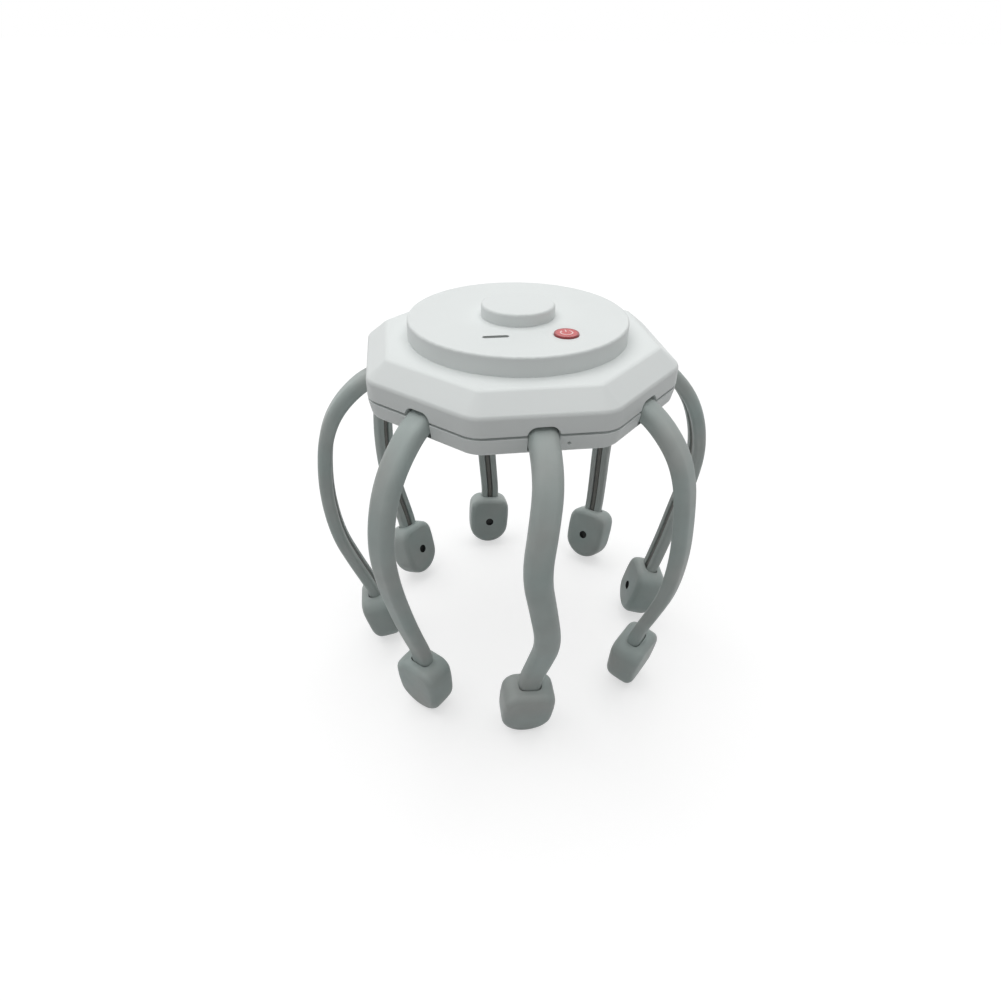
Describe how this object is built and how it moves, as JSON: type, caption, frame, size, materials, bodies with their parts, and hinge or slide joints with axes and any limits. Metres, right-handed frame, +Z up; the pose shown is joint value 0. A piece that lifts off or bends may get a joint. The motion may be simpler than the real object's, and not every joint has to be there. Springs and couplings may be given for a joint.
{
  "type": "scalp massager",
  "caption": "Scalp massager: flat octagonal housing with a raised disc, centre boss and round power button, carried on soft bent arms that end in vibrating massage heads.",
  "frame": {"origin": "centre of the housing's flat underside", "axes": "+Z up out of the boss, square to the underside; -Y out of the front facet, the one below the power button and the indicator slot; +X to the right when that facet faces the viewer and +Z is up"},
  "size_m": [0.1796, 0.1797, 0.1739],
  "materials": {
    "housing_shell": "white moulded ABS, satin",
    "soft_grey": "cool grey silicone, matt and slightly velvety",
    "red_button": "red moulded button cap, satin",
    "indicator_window": "smoked light window, unlit",
    "lead_sleeve": "black flat two-core lead",
    "steel": "plated steel",
    "motor_can": "drawn steel can",
    "weight_metal": "sintered heavy metal",
    "circuit_board": "green solder mask",
    "black_plastic": "black moulded plastic",
    "led": "pale lamp body",
    "battery_foil": "aluminium foil pouch"
  },
  "bodies": {
    "housing": {"top_cover": "housing_shell", "bottom_cover": "housing_shell", "case_screws": "steel", "circuit_board": "circuit_board", "board_screws": "steel", "switch_body": "black_plastic", "indicator_led": "led", "light_guide": "indicator_window", "battery": "battery_foil", "charge_board": "circuit_board", "charge_socket": "steel", "battery_lead": "lead_sleeve", "charge_lead": "lead_sleeve", "lead_tails": "lead_sleeve"},
    "button": {"power_button": "red_button", "switch_plunger": "black_plastic"},
    "arm_front": {"arm_front": "soft_grey", "lead_front": "lead_sleeve", "massage_head_front": "soft_grey", "motor_front": "motor_can"},
    "rotor_front": {"motor_rotor_front": "weight_metal"},
    "arm_front_right": {"arm_front_right": "soft_grey", "lead_front_right": "lead_sleeve", "massage_head_front_right": "soft_grey", "motor_front_right": "motor_can"},
    "rotor_front_right": {"motor_rotor_front_right": "weight_metal"},
    "arm_right": {"arm_right": "soft_grey", "lead_right": "lead_sleeve", "massage_head_right": "soft_grey", "motor_right": "motor_can"},
    "rotor_right": {"motor_rotor_right": "weight_metal"},
    "arm_rear_right": {"arm_rear_right": "soft_grey", "lead_rear_right": "lead_sleeve", "massage_head_rear_right": "soft_grey", "motor_rear_right": "motor_can"},
    "rotor_rear_right": {"motor_rotor_rear_right": "weight_metal"},
    "arm_rear": {"arm_rear": "soft_grey", "lead_rear": "lead_sleeve", "massage_head_rear": "soft_grey", "motor_rear": "motor_can"},
    "rotor_rear": {"motor_rotor_rear": "weight_metal"},
    "arm_rear_left": {"arm_rear_left": "soft_grey", "lead_rear_left": "lead_sleeve", "massage_head_rear_left": "soft_grey", "motor_rear_left": "motor_can"},
    "rotor_rear_left": {"motor_rotor_rear_left": "weight_metal"},
    "arm_left": {"arm_left": "soft_grey", "lead_left": "lead_sleeve", "massage_head_left": "soft_grey", "motor_left": "motor_can"},
    "rotor_left": {"motor_rotor_left": "weight_metal"},
    "arm_front_left": {"arm_front_left": "soft_grey", "lead_front_left": "lead_sleeve", "massage_head_front_left": "soft_grey", "motor_front_left": "motor_can"},
    "rotor_front_left": {"motor_rotor_front_left": "weight_metal"}
  },
  "joints": [
    {"name": "press_power_button", "type": "slide", "parent": "housing", "child": "button", "axis": [0, 0, -1], "range_m": [0, 0.0006], "stiffness_N_per_m": 400},
    {"name": "flex_front", "type": "hinge", "parent": "housing", "child": "arm_front", "pos_m": [0, -0.057, 0.008], "axis": [-1, 0, 0], "range_deg": [-5, 16], "stiffness_Nm_per_rad": 0.8},
    {"name": "spin_rotor_front", "type": "hinge", "parent": "arm_front", "child": "rotor_front", "pos_m": [-0.0041, -0.06862, -0.12712], "axis": [-0.0698, 0.1388, -0.9879], "continuous": true},
    {"name": "flex_front_right", "type": "hinge", "parent": "housing", "child": "arm_front_right", "pos_m": [0.04031, -0.04031, 0.008], "axis": [-0.7071, -0.7071, 0], "range_deg": [-5, 16], "stiffness_Nm_per_rad": 0.8},
    {"name": "spin_rotor_front_right", "type": "hinge", "parent": "arm_front_right", "child": "rotor_front_right", "pos_m": [0.05116, -0.04628, -0.12695], "axis": [-0.0138, 0.1959, -0.9805], "continuous": true},
    {"name": "flex_right", "type": "hinge", "parent": "housing", "child": "arm_right", "pos_m": [0.057, 0, 0.008], "axis": [0, -1, 0], "range_deg": [-5, 16], "stiffness_Nm_per_rad": 0.8},
    {"name": "spin_rotor_right", "type": "hinge", "parent": "arm_right", "child": "rotor_right", "pos_m": [0.06949, 0, -0.12651], "axis": [-0.2756, 0, -0.9613], "continuous": true},
    {"name": "flex_rear_right", "type": "hinge", "parent": "housing", "child": "arm_rear_right", "pos_m": [0.04031, 0.04031, 0.008], "axis": [0.7071, -0.7071, 0], "range_deg": [-5, 16], "stiffness_Nm_per_rad": 0.8},
    {"name": "spin_rotor_rear_right", "type": "hinge", "parent": "arm_rear_right", "child": "rotor_rear_right", "pos_m": [0.05427, 0.05116, -0.12619], "axis": [-0.1871, -0.2611, -0.947], "continuous": true},
    {"name": "flex_rear", "type": "hinge", "parent": "housing", "child": "arm_rear", "pos_m": [0, 0.057, 0.008], "axis": [1, 0, 0], "range_deg": [-5, 16], "stiffness_Nm_per_rad": 0.8},
    {"name": "spin_rotor_rear", "type": "hinge", "parent": "arm_rear", "child": "rotor_rear", "pos_m": [-0.0033, 0.07505, -0.12683], "axis": [-0.0785, -0.2073, -0.9751], "continuous": true},
    {"name": "flex_rear_left", "type": "hinge", "parent": "housing", "child": "arm_rear_left", "pos_m": [-0.04031, 0.04031, 0.008], "axis": [0.7071, 0.7071, 0], "range_deg": [-5, 16], "stiffness_Nm_per_rad": 0.8},
    {"name": "spin_rotor_rear_left", "type": "hinge", "parent": "arm_rear_left", "child": "rotor_rear_left", "pos_m": [-0.05037, 0.04825, -0.12584], "axis": [0.1874, -0.3106, -0.9319], "continuous": true},
    {"name": "flex_left", "type": "hinge", "parent": "housing", "child": "arm_left", "pos_m": [-0.057, 0, 0.008], "axis": [0, 1, 0], "range_deg": [-5, 16], "stiffness_Nm_per_rad": 0.8},
    {"name": "spin_rotor_left", "type": "hinge", "parent": "arm_left", "child": "rotor_left", "pos_m": [-0.06704, 0.0022, -0.12687], "axis": [0.2076, 0.0523, -0.9768], "continuous": true},
    {"name": "flex_front_left", "type": "hinge", "parent": "housing", "child": "arm_front_left", "pos_m": [-0.04031, -0.04031, 0.008], "axis": [-0.7071, 0.7071, 0], "range_deg": [-5, 16], "stiffness_Nm_per_rad": 0.8},
    {"name": "spin_rotor_front_left", "type": "hinge", "parent": "arm_front_left", "child": "rotor_front_left", "pos_m": [-0.0459, -0.04901, -0.12716], "axis": [0.1292, 0.0675, -0.9893], "continuous": true}
  ]
}
